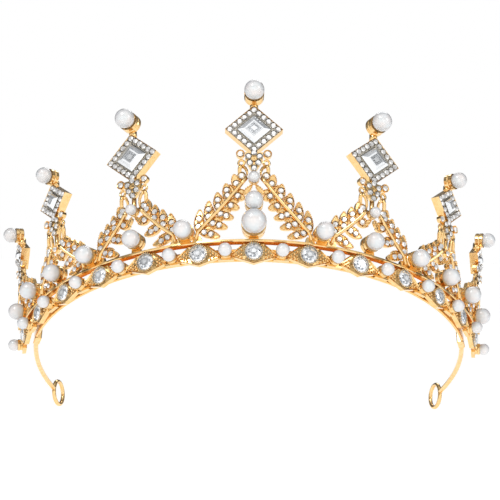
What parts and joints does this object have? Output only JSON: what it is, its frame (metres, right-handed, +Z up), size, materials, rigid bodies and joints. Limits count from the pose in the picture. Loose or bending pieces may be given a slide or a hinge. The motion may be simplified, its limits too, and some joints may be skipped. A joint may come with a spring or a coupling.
{
  "type": "tiara",
  "caption": "Openwork bridal tiara: pointed laurel spires with square crystals and pearls on an arched gem-set band with two looped wire arms.",
  "frame": {"origin": "centre of the band's arc, in the plane of the band, inside the wearer's head", "axes": "+Z up as worn; the wearer faces -Y, so the front of the tiara is towards -Y; +X is to the right as seen from the front; the band's plane is tilted 31.8 degrees about X, front high"},
  "size_m": [0.161, 0.091, 0.1044],
  "materials": {
    "gold": "polished pale gold plate",
    "pearl": "pearl lustre",
    "crystal": "clear, faceted, foil-backed"
  },
  "bodies": {
    "root": {"headband_strip": "gold", "upper_rail": "gold", "gem_row": "gold", "arm_left": "gold", "arm_socket_left": "gold", "arm_right": "gold", "arm_socket_right": "gold", "spire_centre": "gold", "spire_left_1": "gold", "spire_left_2": "gold", "spire_left_3": "gold", "spire_right_1": "gold", "spire_right_2": "gold", "spire_right_3": "gold", "square_crystal_centre": "crystal", "square_crystal_left_1": "crystal", "square_crystal_left_2": "crystal", "square_crystal_left_3": "crystal", "square_crystal_right_1": "crystal", "square_crystal_right_2": "crystal", "square_crystal_right_3": "crystal", "top_pearl_centre": "pearl", "top_pearl_left_1": "pearl", "top_pearl_left_2": "pearl", "top_pearl_left_3": "pearl", "top_pearl_right_1": "pearl", "top_pearl_right_2": "pearl", "top_pearl_right_3": "pearl", "junction_pearl_left_1": "pearl", "junction_pearl_left_2": "pearl", "junction_pearl_left_3": "pearl", "junction_pearl_right_1": "pearl", "junction_pearl_right_2": "pearl", "junction_pearl_right_3": "pearl", "centre_pearl_large": "pearl", "centre_pearl_upper": "pearl", "centre_pearl_left_1": "pearl", "centre_pearl_left_2": "pearl", "centre_pearl_left_3": "pearl", "centre_pearl_right_1": "pearl", "centre_pearl_right_2": "pearl", "centre_pearl_right_3": "pearl", "band_crystal_centre": "crystal", "band_crystal_left_1": "crystal", "band_crystal_left_2": "crystal", "band_crystal_left_3": "crystal", "band_crystal_left_4": "crystal", "band_crystal_left_5": "crystal", "band_crystal_left_6": "crystal", "band_crystal_right_1": "crystal", "band_crystal_right_2": "crystal", "band_crystal_right_3": "crystal", "band_crystal_right_4": "crystal", "band_crystal_right_5": "crystal", "band_crystal_right_6": "crystal"}
  },
  "joints": []
}
